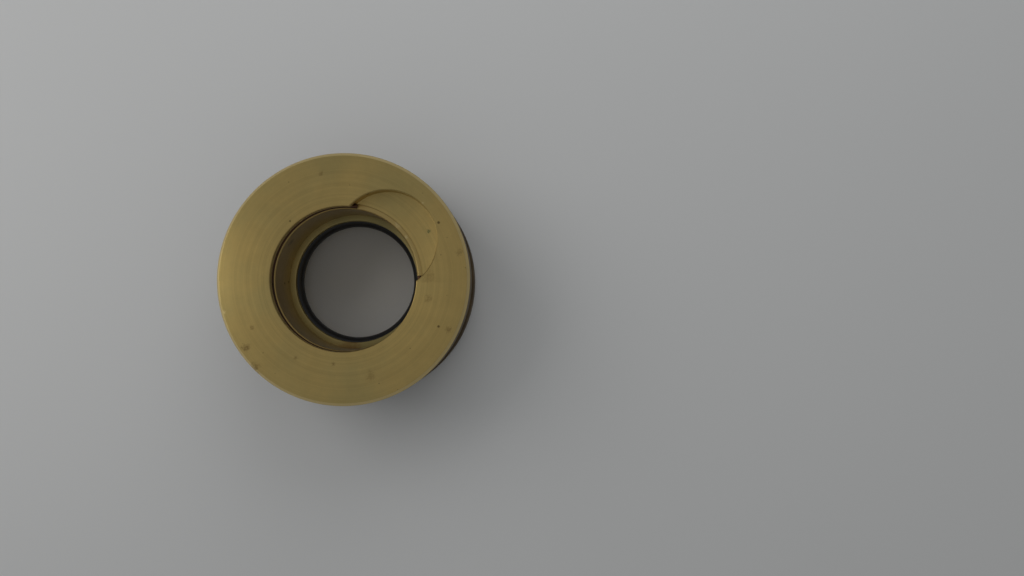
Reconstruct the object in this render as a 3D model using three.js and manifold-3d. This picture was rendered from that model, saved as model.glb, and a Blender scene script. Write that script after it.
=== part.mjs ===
// A brass thru hull fitting: a flanged body with a threaded barrel, a sealed bore for a round
// stem, and the gaskets, washers and round nut that clamp it in a hull.
// Units are millimetres, +Z is up. The fitting stands on the end of its barrel: the origin is
// the centre of that end face, the barrel points down and the flange's face is the top.

import * as THREE from 'three';
import { mergeVertices } from 'three/addons/utils/BufferGeometryUtils.js';
import Module from 'manifold-3d';

// ---- driving dimensions ----

const TOTAL_HEIGHT = 35.5;
const ROUND_STEPS = 64; // facets round a full circle
const FIT_GAP = 0.05; // left between pieces that touch
const RUNNING_GAP = 0.2; // radial gap between pieces that turn on each other

const FLANGE_RADIUS = 40;
const FLANGE_THICKNESS = 11.5;
const FLANGE_TOP_CHAMFER = 1;
const FLANGE_LOWER_CHAMFER = 0.5;

const BARREL_RADIUS = 29.8; // over the crests of its 2 inch parallel pipe thread
const BARREL_END_CHAMFER = 1.2;

const LAND_RADIUS = 23.05; // the mouth of the bore
const LAND_DEPTH = 2.4;
const MOUTH_CHAMFER = 0.25;
const LINER_BORE_RADIUS = 24.5; // holds the liner, the seat ring and the seal
const LINER_TOP_DEPTH = 5;
const LINER_INNER_RADIUS = 22.8;
const LINER_EDGE_CHAMFER = 0.4;

const SEAT_TOP_DEPTH = 22.3;
const SEAT_THICKNESS = 1.95;
const STEM_CLEARANCE_RADIUS = 20.8; // the narrowest metal round the stem

const SEAL_SECTION = 5.3;
const SEAL_INNER_RADIUS = 19.15;
const SEAL_STEPS = 12; // facets round the seal's section

const GLAND_THREAD_RADIUS = 25.2;
const GLAND_THREAD_DEPTH = 5.7; // up from the barrel's end
const GLAND_MOUTH_CHAMFER = 0.6;
const GLAND_NUT_RECESS = 1.3; // from the barrel's end up to the nut
const GLAND_SLOT_COUNT = 4;
const GLAND_SLOT_WIDTH = 3;
const GLAND_SLOT_DEPTH = 1.6;
const THRUST_WASHER_THICKNESS = 1;

const WIRE_DIAMETER = 1.5; // the retaining ring's spring wire
const WIRE_STEPS = 8;
const WIRE_END_REACH = 3; // degrees that each end of the ring reaches into the pocket

const POCKET_RADIUS = 15.9;
const POCKET_OFFSET = 18.3; // from the bore's axis to the pocket's
const POCKET_ANGLE = 42; // degrees from +X towards +Y
const POCKET_DEPTH = 4.7;

const GASKET_OUTER_RADIUS = 38;
const GASKET_THICKNESS = 3;
const HULL_GAP = 5.6; // open between the gaskets with the nut run back
const BACKING_GASKET_THICKNESS = 1.6;
const BACKING_WASHER_THICKNESS = 1.8;
const BACKING_OUTER_RADIUS = 37.5;
const WASHER_EDGE_CHAMFER = 0.3;

const NUT_RADIUS = 40.1;
const NUT_BASE = 1; // from the barrel's end up to the nut
const NUT_CHAMFER = 0.8;
const SPANNER_HOLE_COUNT = 6;
const SPANNER_HOLE_START = 30; // degrees
const SPANNER_HOLE_RADIUS = 2.5;
const SPANNER_HOLE_DEPTH = 3.5;
const HOLE_STEPS = 16;

const LOCK_SCREW_ANGLES = { a: 120, b: 180 }; // degrees
const LOCK_SCREW_RADIUS = 2.9;
const LOCK_SCREW_LENGTH = 5.6;
const LOCK_SCREW_RECESS = 1.2;
const LOCK_HOLE_GAP = 0.15;
const LOCK_SOCKET_ACROSS_FLATS = 3;
const LOCK_SOCKET_DEPTH = 3;
const LOCK_PAD_RADIUS = 2.5;
const LOCK_PAD_LENGTH = 3.2;

// ---- heights and radii that follow from them ----

const FLANGE_BASE = TOTAL_HEIGHT - FLANGE_THICKNESS;
const LAND_BASE = TOTAL_HEIGHT - LAND_DEPTH;
const LINER_TOP = TOTAL_HEIGHT - LINER_TOP_DEPTH;
const SEAT_TOP = TOTAL_HEIGHT - SEAT_TOP_DEPTH;
const SEAT_BASE = SEAT_TOP - SEAT_THICKNESS;
const SEAL_RADIUS = SEAL_INNER_RADIUS + SEAL_SECTION / 2;
const SEAL_HEIGHT = SEAT_BASE - FIT_GAP - SEAL_SECTION / 2;
const THRUST_WASHER_TOP = SEAL_HEIGHT - SEAL_SECTION / 2 - FIT_GAP;
const THRUST_WASHER_BASE = THRUST_WASHER_TOP - THRUST_WASHER_THICKNESS;
const GASKET_TOP = FLANGE_BASE - FIT_GAP;
const GASKET_BASE = GASKET_TOP - GASKET_THICKNESS;
const BACKING_GASKET_TOP = GASKET_BASE - HULL_GAP;
const BACKING_GASKET_BASE = BACKING_GASKET_TOP - BACKING_GASKET_THICKNESS;
const BACKING_WASHER_TOP = BACKING_GASKET_BASE - FIT_GAP;
const BACKING_WASHER_BASE = BACKING_WASHER_TOP - BACKING_WASHER_THICKNESS;
const NUT_TOP = BACKING_WASHER_BASE - FIT_GAP;
const NUT_MIDDLE = (NUT_TOP + NUT_BASE) / 2;
const AROUND_BARREL_RADIUS = BARREL_RADIUS + RUNNING_GAP;
const THROUGH = 1; // how far a cutter runs past what it cuts

// ---- solids ----

const wasm = await Module();
wasm.setup();

const radians = THREE.MathUtils.degToRad;

// A closed outline of [radius, height] points, anticlockwise, spun about the Z axis.
function turned(outline, steps = ROUND_STEPS) {
  const closed = [...outline, outline[0]];
  const points = closed.map(([radius, height]) => new THREE.Vector2(radius, height));
  const geometry = new THREE.LatheGeometry(points, steps);
  geometry.rotateX(Math.PI / 2);
  return geometry;
}

// A round ring of rectangular section with all four edges chamfered alike.
function washer(inner, outer, base, top, chamfer = 0) {
  if (chamfer === 0) {
    return turned([[inner, base], [outer, base], [outer, top], [inner, top]]);
  }
  return turned([
    [inner + chamfer, base],
    [outer - chamfer, base],
    [outer, base + chamfer],
    [outer, top - chamfer],
    [outer - chamfer, top],
    [inner + chamfer, top],
    [inner, top - chamfer],
    [inner, base + chamfer],
  ]);
}

// A ring of round section.
function roundRing(ringRadius, height, sectionRadius, sectionSteps) {
  const outline = [];
  for (let i = 0; i < sectionSteps; i += 1) {
    const angle = (2 * Math.PI * i) / sectionSteps;
    const radius = ringRadius + sectionRadius * Math.cos(angle);
    outline.push([radius, height + sectionRadius * Math.sin(angle)]);
  }
  return turned(outline);
}

// A cylinder along +Z from base to top.
function rod(radius, base, top, steps) {
  const geometry = new THREE.CylinderGeometry(radius, radius, top - base, steps);
  geometry.rotateX(Math.PI / 2);
  geometry.translate(0, 0, (base + top) / 2);
  return geometry;
}

// Lays a shape made along +Z out along a radius at an angle and a height.
function laidRadially(geometry, degrees, height) {
  geometry.rotateY(Math.PI / 2);
  geometry.translate(0, 0, height);
  geometry.rotateZ(radians(degrees));
  return geometry;
}

function toSolid(geometry) {
  const bare = geometry.clone();
  bare.deleteAttribute('normal');
  bare.deleteAttribute('uv');
  const merged = mergeVertices(bare);
  return new wasm.Manifold(new wasm.Mesh({
    numProp: 3,
    vertProperties: new Float32Array(merged.attributes.position.array),
    triVerts: new Uint32Array(merged.index.array),
  }));
}

function toGeometry(solid) {
  const result = solid.getMesh();
  const geometry = new THREE.BufferGeometry();
  geometry.setAttribute('position', new THREE.BufferAttribute(result.vertProperties, 3));
  geometry.setIndex(new THREE.BufferAttribute(result.triVerts, 1));
  geometry.computeVertexNormals();
  return geometry;
}

function cut(geometry, cutters) {
  let solid = toSolid(geometry);
  for (const cutter of cutters) {
    solid = solid.subtract(toSolid(cutter));
  }
  return toGeometry(solid);
}

// ---- materials ----

function brass(color = 0xa08a4c) {
  return new THREE.MeshStandardMaterial({ color, roughness: 0.38, metalness: 1 });
}

function rubber() {
  return new THREE.MeshStandardMaterial({ color: 0x101214, roughness: 0.55, metalness: 0 });
}

const fitting = new THREE.Group();

function add(name, geometry, material) {
  const mesh = new THREE.Mesh(geometry, material);
  mesh.name = name;
  fitting.add(mesh);
}

// ---- the body ----

// The centre of the shallow round pocket that a key reaches into, beside the bore.
const pocketX = POCKET_OFFSET * Math.cos(radians(POCKET_ANGLE));
const pocketY = POCKET_OFFSET * Math.sin(radians(POCKET_ANGLE));

// Flange and barrel turned in one piece. The bore steps from the land at its mouth out to the
// liner's bore, and the barrel's end is threaded inside for the gland nut.
function hullBody() {
  const outline = [
    [GLAND_THREAD_RADIUS + GLAND_MOUTH_CHAMFER, 0],
    [BARREL_RADIUS - BARREL_END_CHAMFER, 0],
    [BARREL_RADIUS, BARREL_END_CHAMFER],
    [BARREL_RADIUS, FLANGE_BASE],
    [FLANGE_RADIUS - FLANGE_LOWER_CHAMFER, FLANGE_BASE],
    [FLANGE_RADIUS, FLANGE_BASE + FLANGE_LOWER_CHAMFER],
    [FLANGE_RADIUS, TOTAL_HEIGHT - FLANGE_TOP_CHAMFER],
    [FLANGE_RADIUS - FLANGE_TOP_CHAMFER, TOTAL_HEIGHT],
    [LAND_RADIUS + MOUTH_CHAMFER, TOTAL_HEIGHT],
    [LAND_RADIUS, TOTAL_HEIGHT - MOUTH_CHAMFER],
    [LAND_RADIUS, LAND_BASE],
    [LINER_BORE_RADIUS, LAND_BASE],
    [LINER_BORE_RADIUS, GLAND_THREAD_DEPTH],
    [GLAND_THREAD_RADIUS, GLAND_THREAD_DEPTH],
    [GLAND_THREAD_RADIUS, GLAND_MOUTH_CHAMFER],
  ];
  const floor = TOTAL_HEIGHT - POCKET_DEPTH;
  const pocket = rod(POCKET_RADIUS, floor, TOTAL_HEIGHT + THROUGH, ROUND_STEPS);
  pocket.translate(pocketX, pocketY, 0);
  return cut(turned(outline), [pocket]);
}

add('hull_body', hullBody(), brass());

// ---- inside the bore, from the mouth down ----

// A split ring of spring wire above the liner. Its gap lies across the pocket, where half the
// angle that the pocket spans at the wire's radius comes from the triangle of the three radii.
function retainingRing() {
  const wireRadius = WIRE_DIAMETER / 2;
  const ringRadius = LINER_BORE_RADIUS - FIT_GAP - wireRadius;
  const height = LINER_TOP + FIT_GAP + wireRadius;
  const squares = ringRadius ** 2 + POCKET_OFFSET ** 2 - POCKET_RADIUS ** 2;
  const halfSpan = Math.acos(squares / (2 * ringRadius * POCKET_OFFSET));
  const halfGap = halfSpan - radians(WIRE_END_REACH);
  const reach = 2 * ringRadius;
  const wedge = new THREE.Shape([
    new THREE.Vector2(0, 0),
    new THREE.Vector2(reach * Math.cos(halfGap), -reach * Math.sin(halfGap)),
    new THREE.Vector2(reach * Math.cos(halfGap), reach * Math.sin(halfGap)),
  ]);
  const gap = new THREE.ExtrudeGeometry(wedge, { depth: 2 * WIRE_DIAMETER, bevelEnabled: false });
  gap.translate(0, 0, height - WIRE_DIAMETER);
  gap.rotateZ(radians(POCKET_ANGLE));
  return cut(roundRing(ringRadius, height, wireRadius, WIRE_STEPS), [gap]);
}

add('retaining_ring', retainingRing(), brass(0x4a3326));

// The bearing liner, pressed into the bore from below up to the retaining ring's groove.
function boreLiner() {
  const base = SEAT_TOP + FIT_GAP;
  const outer = LINER_BORE_RADIUS - FIT_GAP;
  return turned([
    [LINER_INNER_RADIUS, base],
    [outer, base],
    [outer, LINER_TOP],
    [LINER_INNER_RADIUS + LINER_EDGE_CHAMFER, LINER_TOP],
    [LINER_INNER_RADIUS, LINER_TOP - LINER_EDGE_CHAMFER],
  ]);
}

add('bore_liner', boreLiner(), brass(0x8f7147));

const seatRing = washer(STEM_CLEARANCE_RADIUS, LINER_BORE_RADIUS - FIT_GAP, SEAT_BASE, SEAT_TOP);
add('seal_seat_ring', seatRing, brass(0x8d8143));

const boreSeal = roundRing(SEAL_RADIUS, SEAL_HEIGHT, SEAL_SECTION / 2, SEAL_STEPS);
add('bore_o_ring', boreSeal, rubber());

const thrustWasher = washer(
  STEM_CLEARANCE_RADIUS,
  LINER_BORE_RADIUS - RUNNING_GAP,
  THRUST_WASHER_BASE,
  THRUST_WASHER_TOP,
);
add('gland_thrust_washer', thrustWasher, brass(0xb0a890));

// The slotted ring that screws into the barrel's end and keeps the seal in.
function glandNut() {
  const outer = GLAND_THREAD_RADIUS - RUNNING_GAP;
  const top = THRUST_WASHER_BASE - FIT_GAP;
  const ring = washer(STEM_CLEARANCE_RADIUS, outer, GLAND_NUT_RECESS, top, WASHER_EDGE_CHAMFER);
  const slots = [];
  for (let i = 0; i < GLAND_SLOT_COUNT; i += 1) {
    const length = 2 * THROUGH + outer - STEM_CLEARANCE_RADIUS;
    const height = GLAND_SLOT_DEPTH + THROUGH;
    const slot = new THREE.BoxGeometry(length, GLAND_SLOT_WIDTH, height);
    slot.translate(
      (outer + STEM_CLEARANCE_RADIUS) / 2,
      0,
      GLAND_NUT_RECESS + GLAND_SLOT_DEPTH - height / 2,
    );
    slot.rotateZ((2 * Math.PI * i) / GLAND_SLOT_COUNT);
    slots.push(slot);
  }
  return cut(ring, slots);
}

add('gland_nut', glandNut(), brass(0x9a8348));

// ---- round the barrel, from the flange down ----

const flangeGasket = washer(AROUND_BARREL_RADIUS, GASKET_OUTER_RADIUS, GASKET_BASE, GASKET_TOP);
add('flange_gasket', flangeGasket, rubber());

const backingGasket = washer(
  AROUND_BARREL_RADIUS,
  BACKING_OUTER_RADIUS,
  BACKING_GASKET_BASE,
  BACKING_GASKET_TOP,
);
add('backing_gasket', backingGasket, rubber());

const backingWasher = washer(
  AROUND_BARREL_RADIUS,
  BACKING_OUTER_RADIUS,
  BACKING_WASHER_BASE,
  BACKING_WASHER_TOP,
  WASHER_EDGE_CHAMFER,
);
add('backing_washer', backingWasher, brass(0x9c8549));

// The round nut, with blind holes in its rim for a hook spanner and two tapped holes right
// through the rim for the lock screws.
function ringNut() {
  const ring = washer(AROUND_BARREL_RADIUS, NUT_RADIUS, NUT_BASE, NUT_TOP, NUT_CHAMFER);
  const cutters = [];
  for (let i = 0; i < SPANNER_HOLE_COUNT; i += 1) {
    const hole = rod(
      SPANNER_HOLE_RADIUS,
      NUT_RADIUS - SPANNER_HOLE_DEPTH,
      NUT_RADIUS + THROUGH,
      HOLE_STEPS,
    );
    const angle = SPANNER_HOLE_START + (360 * i) / SPANNER_HOLE_COUNT;
    cutters.push(laidRadially(hole, angle, NUT_MIDDLE));
  }
  for (const angle of Object.values(LOCK_SCREW_ANGLES)) {
    const radius = LOCK_SCREW_RADIUS + LOCK_HOLE_GAP;
    const hole = rod(radius, BARREL_RADIUS, NUT_RADIUS + THROUGH, HOLE_STEPS);
    cutters.push(laidRadially(hole, angle, NUT_MIDDLE));
  }
  return cut(ring, cutters);
}

add('ring_nut', ringNut(), brass());

// A grub screw with a hexagon socket, and the soft pad that it presses on the barrel's thread.
function lockScrew(angle) {
  const outerEnd = NUT_RADIUS - LOCK_SCREW_RECESS;
  const screw = rod(LOCK_SCREW_RADIUS, outerEnd - LOCK_SCREW_LENGTH, outerEnd, HOLE_STEPS);
  const hexagonRadius = LOCK_SOCKET_ACROSS_FLATS / Math.sqrt(3);
  const socket = rod(hexagonRadius, outerEnd - LOCK_SOCKET_DEPTH, outerEnd + THROUGH, 6);
  return laidRadially(cut(screw, [socket]), angle, NUT_MIDDLE);
}

function lockPad(angle) {
  const innerEnd = AROUND_BARREL_RADIUS + FIT_GAP;
  const pad = rod(LOCK_PAD_RADIUS, innerEnd, innerEnd + LOCK_PAD_LENGTH, HOLE_STEPS);
  return laidRadially(pad, angle, NUT_MIDDLE);
}

for (const [letter, angle] of Object.entries(LOCK_SCREW_ANGLES)) {
  const steel = new THREE.MeshStandardMaterial({ color: 0x8c8f92, roughness: 0.35, metalness: 1 });
  const nylon = new THREE.MeshStandardMaterial({ color: 0xe6e2d6, roughness: 0.5, metalness: 0 });
  add(`nut_lock_screw_${letter}`, lockScrew(angle), steel);
  add(`nut_lock_pad_${letter}`, lockPad(angle), nylon);
}

export default fitting;
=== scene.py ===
import math

import bmesh
import bpy
from mathutils import Matrix, Vector


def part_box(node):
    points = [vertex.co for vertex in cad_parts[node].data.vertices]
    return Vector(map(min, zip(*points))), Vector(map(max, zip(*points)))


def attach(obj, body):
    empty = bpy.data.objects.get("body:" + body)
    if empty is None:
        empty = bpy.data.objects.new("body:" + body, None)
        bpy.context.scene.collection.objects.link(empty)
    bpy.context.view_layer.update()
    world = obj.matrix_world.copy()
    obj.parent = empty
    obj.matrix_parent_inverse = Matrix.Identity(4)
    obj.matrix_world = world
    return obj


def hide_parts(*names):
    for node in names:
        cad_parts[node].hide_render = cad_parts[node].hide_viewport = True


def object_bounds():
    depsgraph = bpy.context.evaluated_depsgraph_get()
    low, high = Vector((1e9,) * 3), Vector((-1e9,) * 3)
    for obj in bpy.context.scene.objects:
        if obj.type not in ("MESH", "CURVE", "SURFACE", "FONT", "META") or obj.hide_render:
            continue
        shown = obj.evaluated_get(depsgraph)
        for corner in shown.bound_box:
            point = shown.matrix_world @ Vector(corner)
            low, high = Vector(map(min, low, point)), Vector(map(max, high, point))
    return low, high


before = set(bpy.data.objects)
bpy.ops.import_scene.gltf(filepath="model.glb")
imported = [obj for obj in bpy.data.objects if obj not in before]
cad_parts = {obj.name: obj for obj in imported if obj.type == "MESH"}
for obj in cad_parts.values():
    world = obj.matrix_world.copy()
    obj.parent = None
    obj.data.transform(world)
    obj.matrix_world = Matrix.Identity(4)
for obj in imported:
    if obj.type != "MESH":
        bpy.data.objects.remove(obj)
cad_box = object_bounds()
MM = 0.001

# ---- The bench, the light and the view -------------------------------------------------
# The fitting stands on a plain pale board, seen from almost straight above by a camera that
# is held off to its right. Soft light comes from a window at the upper left and from a wall
# at the far side, and a pale card low on the left puts the sheen on the metal.

top_height = cad_box[1].z
VIEW_HEIGHT = 251.4 * MM  # above the flange's face
VIEW_PLACE = (53.2 * MM, -10.1 * MM)
VIEW_LENS = 28.125  # with the camera's 36 mm wide sensor
VIEW_TILT = math.radians(1.65)

view_data = bpy.data.cameras.new("view")
view_data.lens = VIEW_LENS
view_data.clip_start = 0.01
view = bpy.data.objects.new("view", view_data)
view.location = (*VIEW_PLACE, top_height + VIEW_HEIGHT)
view.rotation_euler = (VIEW_TILT, 0, 0)
bpy.context.collection.objects.link(view)
bpy.context.scene.camera = view
bpy.context.scene.view_settings.view_transform = "Standard"


class Signal:
    """The output socket of a node, with which Python's operators add Math nodes."""

    def __init__(self, tree, socket):
        self.tree = tree
        self.socket = socket

    def math(self, operation, *values):
        settings = {"operation": operation}
        return node(self.tree, "ShaderNodeMath", settings, dict(enumerate(values)))

    def __add__(self, other):
        return self.math("ADD", self, other)

    def __radd__(self, other):
        return self.math("ADD", other, self)

    def __sub__(self, other):
        return self.math("SUBTRACT", self, other)

    def __rsub__(self, other):
        return self.math("SUBTRACT", other, self)

    def __mul__(self, other):
        return self.math("MULTIPLY", self, other)

    def __lt__(self, other):
        return self.math("LESS_THAN", self, other)


def node(tree, kind, settings=None, values=None, output=0):
    """Adds a node, sets it up, fills or links its sockets and returns one of its outputs."""
    made = tree.nodes.new(kind)
    for name, value in (settings or {}).items():
        setattr(made, name, value)
    for name, value in (values or {}).items():
        if isinstance(value, Signal):
            tree.links.new(value.socket, made.inputs[name])
        else:
            made.inputs[name].default_value = value
    return Signal(tree, made.outputs[output])


def mixed(tree, share, low, high):
    """A colour that goes from low to high as share goes from 0 to 1."""
    settings = {"data_type": "RGBA", "clamp_factor": True}
    values = {0: share}
    for socket, colour in ((6, low), (7, high)):
        values[socket] = colour if isinstance(colour, Signal) else (*colour, 1)
    return node(tree, "ShaderNodeMix", settings, values, output=2)


def ramped(tree, value, low, high):
    """0 below low and 1 above high, with a smooth step between them."""
    settings = {"interpolation_type": "SMOOTHSTEP"}
    values = {0: value, 1: low, 2: high}
    return node(tree, "ShaderNodeMapRange", settings, values)


def new_finish(name):
    """A material with one Principled shader. Returns it with its tree and the shader."""
    material = bpy.data.materials.new(name)
    material.use_nodes = True
    tree = material.node_tree
    return material, tree, tree.nodes["Principled BSDF"]


def feed(tree, shader, **inputs):
    """Sets or links the shader's sockets, with _ for the space in a socket's name."""
    for name, value in inputs.items():
        socket = shader.inputs[name.replace("_", " ")]
        if isinstance(value, Signal):
            tree.links.new(value.socket, socket)
        else:
            socket.default_value = value


BOARD_HALF = 1.2
BOARD_DROP = 0.02 * MM  # below the barrel's end, so that the two don't share a plane
BOARD_COLOUR = (0.74, 0.745, 0.735)
board_mesh = bmesh.new()
bmesh.ops.create_grid(
    board_mesh,
    x_segments=1,
    y_segments=1,
    size=BOARD_HALF,
    matrix=Matrix.Translation((0, 0, -BOARD_DROP)),
)
board_data = bpy.data.meshes.new("board")
board_mesh.to_mesh(board_data)
board_mesh.free()
board = bpy.data.objects.new("board", board_data)
bpy.context.collection.objects.link(board)
board_finish, tree, shader = new_finish("board_paint")
feed(tree, shader, Base_Color=(*BOARD_COLOUR, 1), Roughness=0.6)
board_data.materials.append(board_finish)

ROOM_COLOUR = (0.97, 0.985, 1.0, 1)
ROOM_STRENGTH = 0.255
ROOM_LEAN = 0.3  # how much brighter the room's upper left is than its middle
ROOM_BRIGHT_SIDE = (-0.85, 0.5, 0)
world = bpy.data.worlds.new("room")
world.use_nodes = True
tree = world.node_tree
direction = node(tree, "ShaderNodeTexCoord", output="Generated")
settings = {"operation": "DOT_PRODUCT"}
lean = node(
    tree, "ShaderNodeVectorMath", settings, {0: direction, 1: ROOM_BRIGHT_SIDE}, "Value"
)
background = tree.nodes["Background"]
background.inputs["Color"].default_value = ROOM_COLOUR
tree.links.new((ROOM_STRENGTH + lean * ROOM_STRENGTH * ROOM_LEAN).socket, background.inputs[1])
bpy.context.scene.world = world


def soft_lamp(name, place, aim, size, power, colour):
    """A square lamp that the camera doesn't see."""
    data = bpy.data.lights.new(name, "AREA")
    data.size = size
    data.energy = power
    data.color = colour
    lamp = bpy.data.objects.new(name, data)
    lamp.location = place
    lamp.rotation_euler = (Vector(aim) - Vector(place)).to_track_quat("-Z", "Y").to_euler()
    lamp.visible_camera = False
    bpy.context.collection.objects.link(lamp)
    return lamp


window = soft_lamp("window", (-0.4, 0.2, 0.36), (-0.06, 0, 0), 0.42, 0.72, (1.0, 0.985, 0.985))
window.visible_glossy = False
far_wall = soft_lamp("far_wall", (0.13, 0.4, 0.24), (0.1, 0.12, 0), 0.4, 0.42, (0.97, 0.98, 1.0))
far_wall.visible_glossy = False
sheen = soft_lamp("sheen_card", (-0.62, 0.03, 0.42), (0, 0, 0), 0.3, 0.62, (1.0, 0.99, 0.92))
sheen.visible_diffuse = False


# ---- The body --------------------------------------------------------------------------
# Flange and barrel in one turning of brass. The flange's face is faced and its rim
# chamfered in the lathe, and the key pocket is plunged beside the bore with an end mill.
# The barrel has a 2 inch parallel pipe thread cut on it up to the flange.

ROUND_STEPS = 240
FLANGE_THICKNESS = 11.5 * MM
FLANGE_CHAMFER = 1.0 * MM
FLANGE_LOWER_CHAMFER = 0.5 * MM
THREAD_CREST = 29.75 * MM
THREAD_ROOT = 28.5 * MM
THREAD_PITCH = 2.309 * MM
BARREL_END_CHAMFER = 1.6 * MM
LAND_RADIUS = 23.05 * MM
LAND_DEPTH = 2.4 * MM
LINER_BORE = 24.5 * MM
GLAND_BORE = 25.2 * MM
GLAND_DEPTH = 5.7 * MM
POCKET_RADIUS = 15.9 * MM
POCKET_OFFSET = 18.3 * MM
POCKET_ANGLE = math.radians(42)
POCKET_DEPTH = 4.7 * MM
POCKET_BREAK = 0.3 * MM  # the broken edge round its rim
CUTTER_REACH = 1 * MM  # how far a cutter stands out of the face that it enters
EDGE_ROUND = 0.12 * MM


def outlined(corners):
    """A bmesh holding a closed outline in the XZ plane. A corner is (radius, height, round)."""
    mesh = bmesh.new()
    verts = [mesh.verts.new((radius, 0, height)) for radius, height, _ in corners]
    mesh.faces.new(verts)
    rounds = {}
    for vert, (_, _, amount) in zip(verts, corners):
        if amount:
            rounds.setdefault(amount, []).append(vert)
    for amount, group in rounds.items():
        bmesh.ops.bevel(
            mesh,
            geom=group,
            offset=amount,
            offset_type="OFFSET",
            segments=3,
            profile=0.5,
            affect="VERTICES",
            material=-1,
        )
    bmesh.ops.delete(mesh, geom=mesh.faces[:], context="FACES_ONLY")
    on_axis = [edge for edge in mesh.edges if all(vert.co.x == 0 for vert in edge.verts)]
    bmesh.ops.delete(mesh, geom=on_axis, context="EDGES")
    return mesh


def close_up(mesh):
    """Merges doubles and turns every face outwards."""
    bmesh.ops.remove_doubles(mesh, verts=mesh.verts, dist=1e-7)
    bmesh.ops.recalc_face_normals(mesh, faces=mesh.faces)


def turned(corners, steps=ROUND_STEPS):
    """An outline spun full circle about the bore's axis."""
    mesh = outlined(corners)
    bmesh.ops.spin(
        mesh,
        geom=mesh.verts[:] + mesh.edges[:],
        cent=(0, 0, 0),
        axis=(0, 0, 1),
        angle=2 * math.pi,
        steps=steps,
        use_merge=True,
    )
    close_up(mesh)
    return mesh


def thread_ridge(root, crest, pitch, base, top, hand_steps=96):
    """A 60 degree ridge wound up from base to top between the root and crest radii."""
    depth = crest - root
    foot = 0.46 * pitch
    tip = foot - depth * math.tan(math.radians(27.5))
    sink = root - 0.4 * depth
    mesh = outlined(
        [
            (sink, base - foot, 0),
            (root, base - foot, 0),
            (crest, base - tip, 0.1 * depth),
            (crest, base + tip, 0.1 * depth),
            (root, base + foot, 0),
            (sink, base + foot, 0),
        ]
    )
    steps = round((top - base) / pitch * hand_steps)
    bmesh.ops.spin(
        mesh,
        geom=mesh.verts[:] + mesh.edges[:],
        cent=(0, 0, 0),
        axis=(0, 0, 1),
        dvec=(0, 0, pitch / hand_steps),
        angle=2 * math.pi * steps / hand_steps,
        steps=steps,
    )
    ends = [edge for edge in mesh.edges if edge.is_boundary]
    bmesh.ops.holes_fill(mesh, edges=ends, sides=0)
    close_up(mesh)
    return mesh


def made_object(name, mesh, finish=None):
    """Turns a bmesh into an object of the scene."""
    data = bpy.data.meshes.new(name)
    mesh.to_mesh(data)
    mesh.free()
    made = bpy.data.objects.new(name, data)
    bpy.context.collection.objects.link(made)
    if finish:
        data.materials.append(finish)
    return made


def machined(piece, mesh, operation="DIFFERENCE"):
    """Cuts piece with a mesh, or joins or trims it, and keeps only the result."""
    tool = made_object("tool", mesh)
    step = piece.modifiers.new("step", "BOOLEAN")
    step.object = tool
    step.operation = operation
    step.solver = "EXACT"
    graph = bpy.context.evaluated_depsgraph_get()
    result = bpy.data.meshes.new_from_object(piece.evaluated_get(graph))
    tidied = bmesh.new()
    tidied.from_mesh(result)
    bmesh.ops.remove_doubles(tidied, verts=tidied.verts, dist=2e-6)
    bmesh.ops.dissolve_degenerate(tidied, edges=tidied.edges, dist=1e-6)
    tidied.to_mesh(result)
    tidied.free()
    piece.modifiers.clear()
    old = piece.data
    piece.data = result
    bpy.data.meshes.remove(old)
    bpy.data.objects.remove(tool)


def gathered(meshes):
    """Several separate cutters as one mesh."""
    together = bmesh.new()
    for mesh in meshes:
        part = bpy.data.meshes.new("part")
        mesh.to_mesh(part)
        mesh.free()
        together.from_mesh(part)
        bpy.data.meshes.remove(part)
    return together


def smoothed(piece, degrees=32):
    """Smooth shading between faces that meet at less than this angle."""
    piece.data.shade_smooth()
    piece.data.set_sharp_from_angle(angle=math.radians(degrees))


def upright_rod(radius, base, top, steps):
    """A cutter along Z with as many sides as steps."""
    mesh = bmesh.new()
    bmesh.ops.create_cone(
        mesh,
        cap_ends=True,
        segments=steps,
        radius1=radius,
        radius2=radius,
        depth=top - base,
        matrix=Matrix.Translation((0, 0, (base + top) / 2)),
    )
    return mesh


def moved(mesh, matrix):
    """Moves a mesh and gives it back."""
    bmesh.ops.transform(mesh, matrix=matrix, verts=mesh.verts)
    return mesh


flange_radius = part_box("hull_body")[1].x
flange_base = top_height - FLANGE_THICKNESS
body_outline = [
    (GLAND_BORE + 0.6 * MM, 0, EDGE_ROUND),
    (THREAD_CREST - BARREL_END_CHAMFER, 0, EDGE_ROUND),
    (THREAD_ROOT, BARREL_END_CHAMFER - 0.35 * MM, 0),
    (THREAD_ROOT, flange_base, 0),
    (flange_radius - FLANGE_LOWER_CHAMFER, flange_base, EDGE_ROUND),
    (flange_radius, flange_base + FLANGE_LOWER_CHAMFER, EDGE_ROUND),
    (flange_radius, top_height - FLANGE_CHAMFER, EDGE_ROUND),
    (flange_radius - FLANGE_CHAMFER, top_height, EDGE_ROUND),
    (LAND_RADIUS + 0.2 * MM, top_height, 0.08 * MM),
    (LAND_RADIUS, top_height - 0.2 * MM, 0.08 * MM),
    (LAND_RADIUS, top_height - LAND_DEPTH, EDGE_ROUND),
    (LINER_BORE, top_height - LAND_DEPTH, EDGE_ROUND),
    (LINER_BORE, GLAND_DEPTH, EDGE_ROUND),
    (GLAND_BORE, GLAND_DEPTH, 0),
    (GLAND_BORE, 0.6 * MM, EDGE_ROUND),
]
hull_body = made_object("hull_body_smooth", turned(body_outline))

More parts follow.
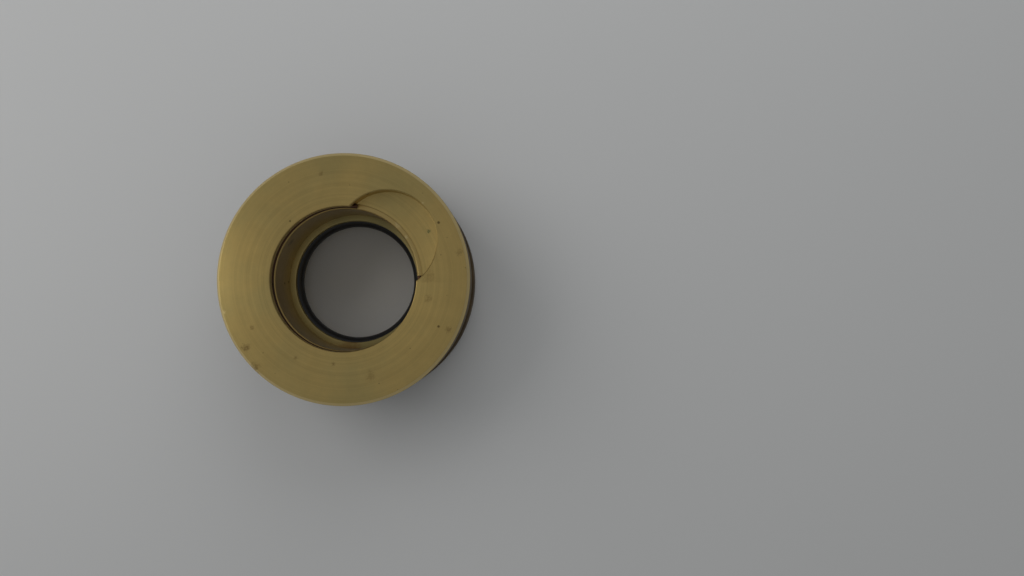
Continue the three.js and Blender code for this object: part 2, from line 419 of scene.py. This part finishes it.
# The thread is trimmed by an envelope that chamfers its first turn.
thread = made_object(
    "barrel_thread",
    thread_ridge(
        THREAD_ROOT, THREAD_CREST, THREAD_PITCH, -THREAD_PITCH, flange_base + THREAD_PITCH
    ),
)
envelope = [
    (THREAD_ROOT - 1.0 * MM, 0.01 * MM, 0),
    (THREAD_CREST - BARREL_END_CHAMFER, 0.01 * MM, 0),
    (THREAD_CREST + 0.2 * MM, BARREL_END_CHAMFER + 0.2 * MM, 0),
    (THREAD_CREST + 0.2 * MM, flange_base - 0.2 * MM, 0),
    (THREAD_ROOT - 1.0 * MM, flange_base - 0.2 * MM, 0),
]
machined(thread, turned(envelope), "INTERSECT")
thread_copy = bmesh.new()
thread_copy.from_mesh(thread.data)
machined(hull_body, thread_copy, "UNION")
bpy.data.objects.remove(thread)

pocket_place = Matrix.Translation(
    (POCKET_OFFSET * math.cos(POCKET_ANGLE), POCKET_OFFSET * math.sin(POCKET_ANGLE), 0)
)
pocket_cutter = turned(
    [
        (0, top_height - POCKET_DEPTH, 0),
        (POCKET_RADIUS, top_height - POCKET_DEPTH, 0.25 * MM),
        (POCKET_RADIUS, top_height - POCKET_BREAK, 0),
        (POCKET_RADIUS + POCKET_BREAK + CUTTER_REACH, top_height + CUTTER_REACH, 0),
        (0, top_height + CUTTER_REACH, 0),
    ],
    160,
)
machined(hull_body, moved(pocket_cutter, pocket_place))
smoothed(hull_body)


def surface_place(tree):
    """Object coordinates, with the distance from the bore's axis and the height in metres."""
    place = node(tree, "ShaderNodeTexCoord", output="Object")
    flat = node(tree, "ShaderNodeVectorMath", {"operation": "MULTIPLY"}, {0: place, 1: (1, 1, 0)})
    radius = node(tree, "ShaderNodeVectorMath", {"operation": "LENGTH"}, {0: flat}, "Value")
    height = node(tree, "ShaderNodeSeparateXYZ", values={0: place}, output="Z")
    return place, radius, height


def noise(tree, place, scale, detail=4, roughness=0.55):
    """Cloudy noise from 0 to 1."""
    values = {"Vector": place, "Scale": scale, "Detail": detail, "Roughness": roughness}
    return node(tree, "ShaderNodeTexNoise", values=values)


def lathe_marks(tree, along, scale, detail=3):
    """Noise that varies only across the tool's path, as turning marks do."""
    settings = {"noise_dimensions": "1D"}
    values = {"W": along, "Scale": scale, "Detail": detail, "Roughness": 0.7}
    return node(tree, "ShaderNodeTexNoise", settings, values)


def spots(tree, place, scale, size, share):
    """1 inside small round spots. share is how many of the cells hold one."""
    values = {"Vector": place, "Scale": scale}
    distance = node(tree, "ShaderNodeTexVoronoi", values=values, output="Distance")
    cell = node(tree, "ShaderNodeTexVoronoi", values=values, output="Color")
    chosen = node(tree, "ShaderNodeSeparateColor", values={0: cell}, output=0) < share
    return (1 - ramped(tree, distance, size * 0.5, size)) * chosen


def brass_signals(tree, colour, dull, roughness, grain=0.5, marks=1.0):
    """Machined brass: turning marks, tarnish that dulls it in patches, specks and scuffs."""
    place, radius, height = surface_place(tree)
    along = radius + height
    fine = lathe_marks(tree, along, 4200)
    coarse = lathe_marks(tree, along, 800)
    patches = ramped(tree, noise(tree, place, 42, 5), 0.36, 0.7)
    smudges = noise(tree, place, 190, 5, 0.68)
    specks = spots(tree, place, 170, 0.1, 0.3)
    pits = spots(tree, place, 520, 0.13, 0.07)
    shade = mixed(tree, patches * 0.8, colour, dull)
    streak = (coarse - 0.5) * 0.8 * grain + (fine - 0.5) * 0.6 * grain + (smudges - 0.5) * 0.55
    light = shade_scaled(tree, shade, 1.22)
    shade = mixed(tree, 0.5 + streak, shade_scaled(tree, shade, 0.78), light)
    marked = node(tree, "ShaderNodeMath", {"operation": "MAXIMUM"}, {0: specks, 1: pits * 0.6})
    shade = mixed(tree, marked * 0.7, shade, (0.07, 0.045, 0.022))
    bump_height = fine * 0.4 + coarse * 0.6 + smudges * 0.15 - marked * 0.5
    normal = node(
        tree,
        "ShaderNodeBump",
        values={"Strength": 0.22 * marks, "Distance": 0.00006, "Height": bump_height},
    )
    rough = roughness + patches * 0.08 + (fine - 0.5) * 0.16 + marked * 0.25
    return shade, rough, normal


def brass_shader(tree, shader, shade, rough, normal):
    """Feeds the signals in, with the highlight drawn out across the turning marks."""
    feed(
        tree,
        shader,
        Base_Color=shade,
        Metallic=1.0,
        Roughness=rough,
        Anisotropic=0.45,
        Anisotropic_Rotation=0.25,
        Normal=normal,
    )


def turned_brass(name, colour, dull, roughness, grain=0.5, marks=1.0):
    """Machined brass with no stains of its own."""
    material, tree, shader = new_finish(name)
    signals = brass_signals(tree, colour, dull, roughness, grain, marks)
    brass_shader(tree, shader, *signals)
    return material


def stain(tree, place, centre, size, ragged=1.0):
    """1 at centre, falling to 0 at about size from it along a ragged, broken edge."""
    settings = {"operation": "DISTANCE"}
    away = node(tree, "ShaderNodeVectorMath", settings, {0: place, 1: centre}, "Value")
    edge = noise(tree, place, 1.7 / size, 6, 0.7) - 0.5
    solid = 1 - ramped(tree, away + edge * size * 2 * ragged, size * 0.15, size)
    return solid * ramped(tree, noise(tree, place, 3.5 / size, 4, 0.6), 0.25, 0.55)


def shade_scaled(tree, colour, factor):
    """A colour made lighter or darker."""
    settings = {"operation": "SCALE"}
    return node(tree, "ShaderNodeVectorMath", settings, {0: colour, "Scale": factor})


def rim_painted_shade(tree, shade, rough, start):
    """Beyond the start radius the brass is painted dark brown, as painted shade on the outer wall,
    with faint lines and a few pale scuffs.
    """
    place, radius, height = surface_place(tree)
    rim = ramped(tree, radius, start, start + 0.15 * MM)
    cloud = ramped(tree, noise(tree, place, 120, 5, 0.6), 0.3, 0.75)
    lines = lathe_marks(tree, height, 1100)
    scuffs = spots(tree, place, 260, 0.12, 0.1)
    painted_wall_shade = mixed(tree, cloud * 0.7 + (lines - 0.5) * 0.7, (0.06, 0.043, 0.032), (0.17, 0.118, 0.065))
    painted_wall_shade = mixed(tree, scuffs * 0.4, painted_wall_shade, (0.42, 0.3, 0.13))
    return mixed(tree, rim * 0.93, shade, painted_wall_shade), rough + rim * 0.1


BRASS = (0.64, 0.465, 0.17)
DULL_BRASS = (0.53, 0.42, 0.17)
BRIGHT_BRASS = (0.82, 0.66, 0.33)
VERDIGRIS = (0.06, 0.13, 0.06)
AMBER = (0.28, 0.15, 0.05)
faced_brass, tree, shader = new_finish("faced_brass")
shade, rough, normal = brass_signals(tree, BRASS, DULL_BRASS, 0.4, 0.8, 1.2)
place, radius, height = surface_place(tree)
# Painted shade: the flange's outer wall is painted dark brown.
shade, rough = rim_painted_shade(tree, shade, rough, flange_radius - 0.2 * MM)
# Painted highlight: the flange's top chamfer is painted a lighter brass all round, standing in for
# the sheen it catches from the light.
chamfer_highlight = ramped(tree, radius, flange_radius - 1.05 * MM, flange_radius - 0.9 * MM)
chamfer_highlight = chamfer_highlight * ramped(tree, height, top_height - 1.1 * MM, top_height - 1.0 * MM)
shade = mixed(tree, chamfer_highlight * 0.7, shade, BRIGHT_BRASS)
# Bright nicks in the rims, each with its place across the face and its size in mm.
RIM_NICKS = ((25.1, 24.0, 0.6), (26.4, 21.0, 0.45), (-37.2, -10.5, 0.8))
for across, up, size in RIM_NICKS:
    centre = (across * MM, up * MM, top_height - 0.2 * MM)
    brightened = stain(tree, place, centre, size * MM)
    shade = mixed(tree, brightened * 0.8, shade, BRIGHT_BRASS)
pocket_floor = top_height - POCKET_DEPTH
green_spot = stain(tree, place, (26.5 * MM, 15.5 * MM, pocket_floor), 0.9 * MM)
shade = mixed(tree, green_spot * 0.85, shade, VERDIGRIS)
# Brown smudges on the face, each with its place and size in mm and its strength.
SMUDGES = (
    (-30.3, -21.6, 1.5, 0.6),
    (-27.6, -28.4, 2.0, 0.5),
    (27.0, -6.2, 1.3, 0.35),
    (36.6, 8.3, 1.2, 0.4),
    (37.2, 15.2, 1.0, 0.35),
    (33.3, -16.0, 1.1, 0.45),
    (26.8, 1.0, 2.2, 0.3),
    (-7.1, 33.2, 0.9, 0.4),
    (-28.4, -15.3, 0.8, 0.45),
    (-2.8, -26.7, 0.7, 0.5),
    (-14.6, -24.8, 0.7, 0.45),
    (8.9, -30.5, 1.6, 0.3),
)
for across, up, size, strength in SMUDGES:
    centre = (across * MM, up * MM, top_height)
    smudge = stain(tree, place, centre, size * MM * 1.25, 1.3)
    shade = mixed(tree, smudge * strength, shade, (0.19, 0.115, 0.045))
    rough = rough + smudge * 0.1
brass_shader(tree, shader, shade, rough, normal)
hull_body.data.materials.clear()
hull_body.data.materials.append(faced_brass)
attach(hull_body, "fitting_body")
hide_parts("hull_body")


# ---- The retaining ring ----------------------------------------------------------------
# A split ring of spring-bronze wire, sprung into the groove between the land and the liner; it is
# coloured near-black as painted shade for the shadowed groove.
# Its two ends stand a little way into the key pocket, where a pick can lift them.

wire_low, wire_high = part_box("retaining_ring")
WIRE_RADIUS = (wire_high.z - wire_low.z) / 2
WIRE_REACH = math.radians(3)
wire_ring_radius = LINER_BORE - 0.05 * MM - WIRE_RADIUS
wire_span = math.acos(
    (wire_ring_radius**2 + POCKET_OFFSET**2 - POCKET_RADIUS**2)
    / (2 * wire_ring_radius * POCKET_OFFSET)
)
wire_gap = 2 * (wire_span - WIRE_REACH)
wire = bmesh.new()
bmesh.ops.create_circle(
    wire,
    segments=24,
    radius=WIRE_RADIUS * 0.98,
    matrix=Matrix.Translation((wire_ring_radius, 0, (wire_low.z + wire_high.z) / 2))
    @ Matrix.Rotation(math.pi / 2, 4, "X"),
)
bmesh.ops.spin(
    wire,
    geom=wire.verts[:] + wire.edges[:],
    cent=(0, 0, 0),
    axis=(0, 0, 1),
    angle=2 * math.pi - wire_gap,
    steps=200,
)
wire_ends = [edge for edge in wire.edges if edge.is_boundary]
bmesh.ops.holes_fill(wire, edges=wire_ends, sides=0)
bmesh.ops.bevel(
    wire,
    geom=wire_ends,
    offset=0.2 * MM,
    offset_type="OFFSET",
    segments=3,
    profile=0.5,
    affect="EDGES",
    material=-1,
)
close_up(wire)
moved(wire, Matrix.Rotation(POCKET_ANGLE + wire_gap / 2, 4, "Z"))
# Painted shade: the wire's near-black colour stands in for the shade in its groove.
groove_shade_bronze = turned_brass("groove_shade_wire", (0.12, 0.06, 0.035), (0.07, 0.04, 0.03), 0.42, 0.4)
retaining_ring = made_object("retaining_ring_wire", wire, groove_shade_bronze)
smoothed(retaining_ring)
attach(retaining_ring, "fitting_body")
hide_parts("retaining_ring")


# ---- The bore liner --------------------------------------------------------------------
# A thin bronze bearing sleeve, pressed up the bore from the barrel's end and bored smooth.
# The lathe left a small chamfer round its top edge; the top end is painted a lighter brass, which on
# the chamfer is a painted highlight.

liner_low, liner_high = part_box("bore_liner")
LINER_INNER = 22.8 * MM
LINER_CHAMFER = 0.4 * MM
liner_outline = [
    (LINER_INNER, liner_low.z, EDGE_ROUND),
    (liner_high.x, liner_low.z, EDGE_ROUND),
    (liner_high.x, liner_high.z, 0.06 * MM),
    (LINER_INNER + LINER_CHAMFER, liner_high.z, 0.06 * MM),
    (LINER_INNER, liner_high.z - LINER_CHAMFER, 0.06 * MM),
]
liner_bronze, tree, shader = new_finish("bored_bronze")
shade, rough, normal = brass_signals(tree, (0.5, 0.37, 0.17), (0.4, 0.29, 0.14), 0.34, 0.8, 0.8)
place, radius, height = surface_place(tree)
# The top end is painted a lighter brass tone, and on the chamfer this is a painted highlight.
end_tone_and_highlight = ramped(tree, height, liner_high.z - 0.5 * MM, liner_high.z - 0.3 * MM)
shade = mixed(tree, end_tone_and_highlight * 0.9, shade, (0.62, 0.45, 0.17))
# Two lighter patches on its top edge: place and size in mm.
for across, up, size in ((16.8, 17.8, 1.5), (19.2, 13.6, 0.8)):
    centre = (across * MM, up * MM, liner_high.z)
    brightened = stain(tree, place, centre, size * MM)
    shade = mixed(tree, brightened * 0.7, shade, BRIGHT_BRASS)
dribble = stain(tree, place, (-2 * MM, -22.8 * MM, liner_low.z), 6 * MM, 0.8)
# A darker patch on the bore's wall at the upper left.
dark_patch = stain(tree, place, (-19 * MM, 12.5 * MM, liner_high.z - 5 * MM), 2.2 * MM, 1.0)
shade = mixed(tree, dribble * 0.6, shade, AMBER)
shade = mixed(tree, dark_patch * 0.6, shade, (0.12, 0.08, 0.05))
brass_shader(tree, shader, shade, rough, normal)
bore_liner = made_object("bore_liner_sleeve", turned(liner_outline), liner_bronze)
smoothed(bore_liner)
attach(bore_liner, "fitting_body")
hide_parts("bore_liner")


# ---- The seal's seat ring --------------------------------------------------------------
# A plain brass ring under the liner. Its top makes the ledge that the stem's collar sits
# on, and its underside is the upper wall of the seal's groove.

seat_low, seat_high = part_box("seal_seat_ring")
STEM_CLEARANCE = 20.8 * MM
seat_outline = [
    (STEM_CLEARANCE, seat_low.z, 0.1 * MM),
    (seat_high.x, seat_low.z, 0.1 * MM),
    (seat_high.x, seat_high.z, 0.1 * MM),
    (STEM_CLEARANCE, seat_high.z, 0.25 * MM),
]
seat_brass, tree, shader = new_finish("tarnished_seat")
shade, rough, normal = brass_signals(tree, (0.47, 0.37, 0.15), (0.36, 0.31, 0.14), 0.4, 0.8)
place, radius, height = surface_place(tree)
puddle = stain(tree, place, (-1.5 * MM, -21.5 * MM, seat_high.z), 5 * MM, 0.9)
shade = mixed(tree, puddle * 0.65, shade, AMBER)
brass_shader(tree, shader, shade, rough, normal)
seat_ring = made_object("seal_seat_ledge", turned(seat_outline), seat_brass)
smoothed(seat_ring)
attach(seat_ring, "fitting_body")
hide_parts("seal_seat_ring")


# ---- The rubber seal and gaskets -------------------------------------------------------
# The bore's O-ring is moulded nitrile rubber, with no stem in it. The gaskets on both sides
# of the hull are cut from black sheet rubber, and bulge a little at the rim.

RUBBER = (0.012, 0.013, 0.015)
DUSTY_RUBBER = (0.05, 0.052, 0.055)


def black_rubber(name, roughness=0.42, dust=0.35):
    """Black rubber with a fine pebbled surface, a little dust and a few pale scuffs."""
    material, tree, shader = new_finish(name)
    place, _, height = surface_place(tree)
    pebble = noise(tree, place, 2600, 2)
    bloom = ramped(tree, noise(tree, place, 85, 5, 0.6), 0.45, 0.75)
    scuffs = spots(tree, place, 420, 0.1, 0.12)
    shade = mixed(tree, bloom * dust, RUBBER, DUSTY_RUBBER)
    shade = mixed(tree, scuffs * 0.4, shade, (0.12, 0.12, 0.115))
    normal = node(
        tree,
        "ShaderNodeBump",
        values={"Strength": 0.12, "Distance": 0.00005, "Height": pebble},
    )
    feed(
        tree,
        shader,
        Base_Color=shade,
        Roughness=roughness + bloom * 0.18 + (pebble - 0.5) * 0.12,
        Specular_IOR_Level=0.55,
        Normal=normal,
    )
    return material


seal_low, seal_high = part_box("bore_o_ring")
SEAL_SECTION = seal_high.z - seal_low.z
SEAL_INNER = 19.15 * MM
seal_ring_radius = SEAL_INNER + SEAL_SECTION / 2
seal_mesh = bmesh.new()
bmesh.ops.create_circle(
    seal_mesh,
    segments=48,
    radius=SEAL_SECTION / 2,
    matrix=Matrix.Translation((seal_ring_radius, 0, (seal_low.z + seal_high.z) / 2))
    @ Matrix.Rotation(math.pi / 2, 4, "X"),
)
bmesh.ops.spin(
    seal_mesh,
    geom=seal_mesh.verts[:] + seal_mesh.edges[:],
    cent=(0, 0, 0),
    axis=(0, 0, 1),
    angle=2 * math.pi,
    steps=ROUND_STEPS,
    use_merge=True,
)
close_up(seal_mesh)
o_ring = made_object("bore_o_ring_rubber", seal_mesh, black_rubber("moulded_rubber", 0.36, 0.25))
smoothed(o_ring)
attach(o_ring, "fitting_body")
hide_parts("bore_o_ring")

sheet_rubber = black_rubber("sheet_rubber", 0.5, 0.6)
GASKET_BORE = 30.0 * MM
GASKET_BULGE = 0.25 * MM
for gasket_node, gasket_body in (
    ("flange_gasket", "fitting_body"),
    ("backing_gasket", "backing_stack"),
):
    gasket_low, gasket_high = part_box(gasket_node)
    gasket_middle = (gasket_low.z + gasket_high.z) / 2
    gasket_round = 0.2 * (gasket_high.z - gasket_low.z)
    gasket_outline = [
        (GASKET_BORE, gasket_low.z, gasket_round),
        (gasket_high.x - GASKET_BULGE, gasket_low.z, gasket_round),
        (gasket_high.x, gasket_middle, gasket_round),
        (gasket_high.x - GASKET_BULGE, gasket_high.z, gasket_round),
        (GASKET_BORE, gasket_high.z, gasket_round),
    ]
    gasket = made_object(f"{gasket_node}_rubber", turned(gasket_outline), sheet_rubber)
    smoothed(gasket, 45)
    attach(gasket, gasket_body)
    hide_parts(gasket_node)


# ---- The two plain washers -------------------------------------------------------------
# Blanked from brass sheet: the thrust washer keeps the turning gland nut off the seal, and
# the backing washer keeps the round nut off the gasket. Their edges are tumbled round.

washer_brass = turned_brass("rolled_brass", (0.6, 0.46, 0.2), (0.45, 0.37, 0.19), 0.4, 0.35, 0.5)
for washer_node, washer_body, washer_bore in (
    ("gland_thrust_washer", "thrust_washer", STEM_CLEARANCE),
    ("backing_washer", "backing_stack", GASKET_BORE),
):
    washer_low, washer_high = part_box(washer_node)
    washer_round = 0.25 * (washer_high.z - washer_low.z)
    washer_outline = [
        (washer_bore, washer_low.z, washer_round),
        (washer_high.x, washer_low.z, washer_round),
        (washer_high.x, washer_high.z, washer_round),
        (washer_bore, washer_high.z, washer_round),
    ]
    washer = made_object(f"{washer_node}_plain", turned(washer_outline), washer_brass)
    smoothed(washer)
    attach(washer, washer_body)
    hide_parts(washer_node)


# ---- The gland nut ---------------------------------------------------------------------
# A thin brass ring, threaded outside, that screws into the barrel's end below the seal.
# Slots sawn across its lower face take a forked key.

gland_low, gland_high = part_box("gland_nut")
GLAND_CHAMFER = 0.3 * MM
GLAND_SLOTS = 4
GLAND_SLOT_WIDTH = 3 * MM
GLAND_SLOT_DEPTH = 1.6 * MM
gland_outline = [
    (STEM_CLEARANCE, gland_low.z, GLAND_CHAMFER),
    (gland_high.x, gland_low.z, GLAND_CHAMFER),
    (gland_high.x, gland_high.z, GLAND_CHAMFER),
    (STEM_CLEARANCE, gland_high.z, GLAND_CHAMFER),
]
nut_brass, tree, shader = new_finish("nut_brass")
shade, rough, normal = brass_signals(tree, (0.6, 0.44, 0.17), (0.43, 0.34, 0.15), 0.4, 0.7)
# Painted shade: the round nut's outer wall is painted dark brown as well.
shade, rough = rim_painted_shade(tree, shade, rough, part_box("ring_nut")[1].x - 0.9 * MM)
brass_shader(tree, shader, shade, rough, normal)
gland_nut = made_object("gland_nut_slotted", turned(gland_outline), nut_brass)
saws = []
for i in range(GLAND_SLOTS):
    slot_cutter = bmesh.new()
    bmesh.ops.create_cube(slot_cutter, size=1)
    slot_place = Matrix.Rotation(2 * math.pi * i / GLAND_SLOTS, 4, "Z") @ Matrix.Translation(
        (gland_high.x - 2 * MM, 0, gland_low.z + GLAND_SLOT_DEPTH / 2 - 0.5 * MM)
    )
    slot_size = Matrix.Diagonal((8 * MM, GLAND_SLOT_WIDTH, GLAND_SLOT_DEPTH + 1 * MM, 1))
    saws.append(moved(slot_cutter, slot_place @ slot_size))
machined(gland_nut, gathered(saws))
smoothed(gland_nut)
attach(gland_nut, "gland_ring")
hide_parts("gland_nut")


# ---- The round nut ---------------------------------------------------------------------
# Turned from brass bar as wide as the flange. Blind holes round its rim take the pin of a
# hook spanner, and two tapped holes go right through the rim for the lock screws.

nut_low, nut_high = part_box("ring_nut")
nut_middle = (nut_low.z + nut_high.z) / 2
NUT_CHAMFER = 0.8 * MM
SPANNER_HOLES = 6
SPANNER_HOLE_START = math.radians(30)
SPANNER_HOLE_RADIUS = 2.5 * MM
SPANNER_HOLE_DEPTH = 3.5 * MM
COUNTERSINK = 0.4 * MM
LOCK_ANGLES = {"a": math.radians(120), "b": math.radians(180)}
LOCK_HOLE_RADIUS = 3.05 * MM
nut_outline = [
    (GASKET_BORE, nut_low.z + NUT_CHAMFER, EDGE_ROUND),
    (GASKET_BORE + NUT_CHAMFER, nut_low.z, EDGE_ROUND),
    (nut_high.x - NUT_CHAMFER, nut_low.z, EDGE_ROUND),
    (nut_high.x, nut_low.z + NUT_CHAMFER, EDGE_ROUND),
    (nut_high.x, nut_high.z - NUT_CHAMFER, EDGE_ROUND),
    (nut_high.x - NUT_CHAMFER, nut_high.z, EDGE_ROUND),
    (GASKET_BORE + NUT_CHAMFER, nut_high.z, EDGE_ROUND),
    (GASKET_BORE, nut_high.z - NUT_CHAMFER, EDGE_ROUND),
]


def laid_out(angle):
    """Turns what is made along Z out along a radius of the nut, at half its height."""
    return (
        Matrix.Rotation(angle, 4, "Z")
        @ Matrix.Translation((0, 0, nut_middle))
        @ Matrix.Rotation(math.pi / 2, 4, "Y")
    )


def drill(angle, radius, inner_end, rim):
    """A cutter for a radial hole from the rim in to inner_end, with its mouth countersunk."""
    bit = turned(
        [
            (0, inner_end, 0),
            (radius, inner_end, 0),
            (radius, rim - COUNTERSINK, 0),
            (radius + COUNTERSINK + CUTTER_REACH, rim + CUTTER_REACH, 0),
            (0, rim + CUTTER_REACH, 0),
        ],
        48,
    )
    return moved(bit, laid_out(angle))


ring_nut = made_object("ring_nut_turned", turned(nut_outline), nut_brass)
drills = []
for i in range(SPANNER_HOLES):
    hole_angle = SPANNER_HOLE_START + 2 * math.pi * i / SPANNER_HOLES
    hole_end = nut_high.x - SPANNER_HOLE_DEPTH
    drills.append(drill(hole_angle, SPANNER_HOLE_RADIUS, hole_end, nut_high.x))
for hole_angle in LOCK_ANGLES.values():
    drills.append(drill(hole_angle, LOCK_HOLE_RADIUS, GASKET_BORE - CUTTER_REACH, nut_high.x))
machined(ring_nut, gathered(drills))
smoothed(ring_nut)
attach(ring_nut, "round_nut")
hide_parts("ring_nut")


# ---- The nut's lock screws and pads ----------------------------------------------------
# Stainless grub screws with hexagon sockets. Each presses a turned nylon pad on the
# barrel's thread, so that the nut is held and the thread isn't bruised.

SCREW_RADIUS = 2.9 * MM
SCREW_LENGTH = 5.6 * MM
SCREW_RECESS = 1.2 * MM
SCREW_PITCH = 1.0 * MM
SCREW_ROOT = 2.35 * MM
SCREW_CHAMFER = 0.5 * MM
SOCKET_RADIUS = 3 * MM / math.sqrt(3)
SOCKET_DEPTH = 3 * MM
PAD_RADIUS = 2.5 * MM
PAD_LENGTH = 3.2 * MM
PAD_ROUND = 0.3 * MM

screw_steel, tree, shader = new_finish("stainless_steel")
place, _, _ = surface_place(tree)
steel_grain = noise(tree, place, 3000, 3)
steel_stain = ramped(tree, noise(tree, place, 500, 4), 0.4, 0.75)
feed(
    tree,
    shader,
    Base_Color=mixed(tree, steel_stain * 0.6, (0.56, 0.56, 0.55), (0.36, 0.35, 0.33)),
    Metallic=1.0,
    Roughness=0.26 + steel_grain * 0.16,
    Normal=node(
        tree,
        "ShaderNodeBump",
        values={"Strength": 0.15, "Distance": 0.00003, "Height": steel_grain},
    ),
)

pad_nylon, tree, shader = new_finish("turned_nylon")
place, _, _ = surface_place(tree)
nylon_grain = noise(tree, place, 1800, 3)
feed(
    tree,
    shader,
    Base_Color=mixed(tree, nylon_grain, (0.72, 0.69, 0.61), (0.82, 0.8, 0.73)),
    Roughness=0.42 + nylon_grain * 0.15,
    Normal=node(
        tree,
        "ShaderNodeBump",
        values={"Strength": 0.15, "Distance": 0.00004, "Height": nylon_grain},
    ),
)

screw_outer = nut_high.x - SCREW_RECESS
screw_inner = screw_outer - SCREW_LENGTH
pad_inner = GASKET_BORE + 0.05 * MM
for letter, lock_angle in LOCK_ANGLES.items():
    screw_outline = [
        (0, screw_inner, 0),
        (SCREW_ROOT - SCREW_CHAMFER, screw_inner, 0),
        (SCREW_ROOT, screw_inner + SCREW_CHAMFER, 0),
        (SCREW_ROOT, screw_outer - SCREW_CHAMFER, 0),
        (SCREW_ROOT - SCREW_CHAMFER, screw_outer, 0),
        (0, screw_outer, 0),
    ]
    screw = made_object(f"nut_lock_screw_{letter}_socket", turned(screw_outline, 64), screw_steel)
    screw_thread = made_object(
        "screw_thread",
        thread_ridge(
            SCREW_ROOT,
            SCREW_RADIUS,
            SCREW_PITCH,
            screw_inner - SCREW_PITCH,
            screw_outer + SCREW_PITCH,
            48,
        ),
    )
    screw_envelope = [
        (SCREW_ROOT - 0.4 * MM, screw_inner + 0.01 * MM, 0),
        (SCREW_ROOT - 0.1 * MM, screw_inner + 0.01 * MM, 0),
        (SCREW_RADIUS + 0.1 * MM, screw_inner + 0.7 * MM, 0),
        (SCREW_RADIUS + 0.1 * MM, screw_outer - 0.7 * MM, 0),
        (SCREW_ROOT - 0.1 * MM, screw_outer - 0.01 * MM, 0),
        (SCREW_ROOT - 0.4 * MM, screw_outer - 0.01 * MM, 0),
    ]
    machined(screw_thread, turned(screw_envelope, 64), "INTERSECT")
    thread_copy = bmesh.new()
    thread_copy.from_mesh(screw_thread.data)
    machined(screw, thread_copy, "UNION")
    bpy.data.objects.remove(screw_thread)
    socket = upright_rod(SOCKET_RADIUS, screw_outer - SOCKET_DEPTH, screw_outer + CUTTER_REACH, 6)
    machined(screw, socket)
    screw.data.transform(laid_out(lock_angle))
    smoothed(screw)
    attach(screw, "round_nut")
    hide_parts(f"nut_lock_screw_{letter}")

    pad_outline = [
        (0, pad_inner, 0),
        (PAD_RADIUS, pad_inner, PAD_ROUND),
        (PAD_RADIUS, pad_inner + PAD_LENGTH, PAD_ROUND),
        (0, pad_inner + PAD_LENGTH, 0),
    ]
    pad_mesh = moved(turned(pad_outline, 48), laid_out(lock_angle))
    pad = made_object(f"nut_lock_pad_{letter}_turned", pad_mesh, pad_nylon)
    smoothed(pad)
    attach(pad, "round_nut")
    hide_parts(f"nut_lock_pad_{letter}")
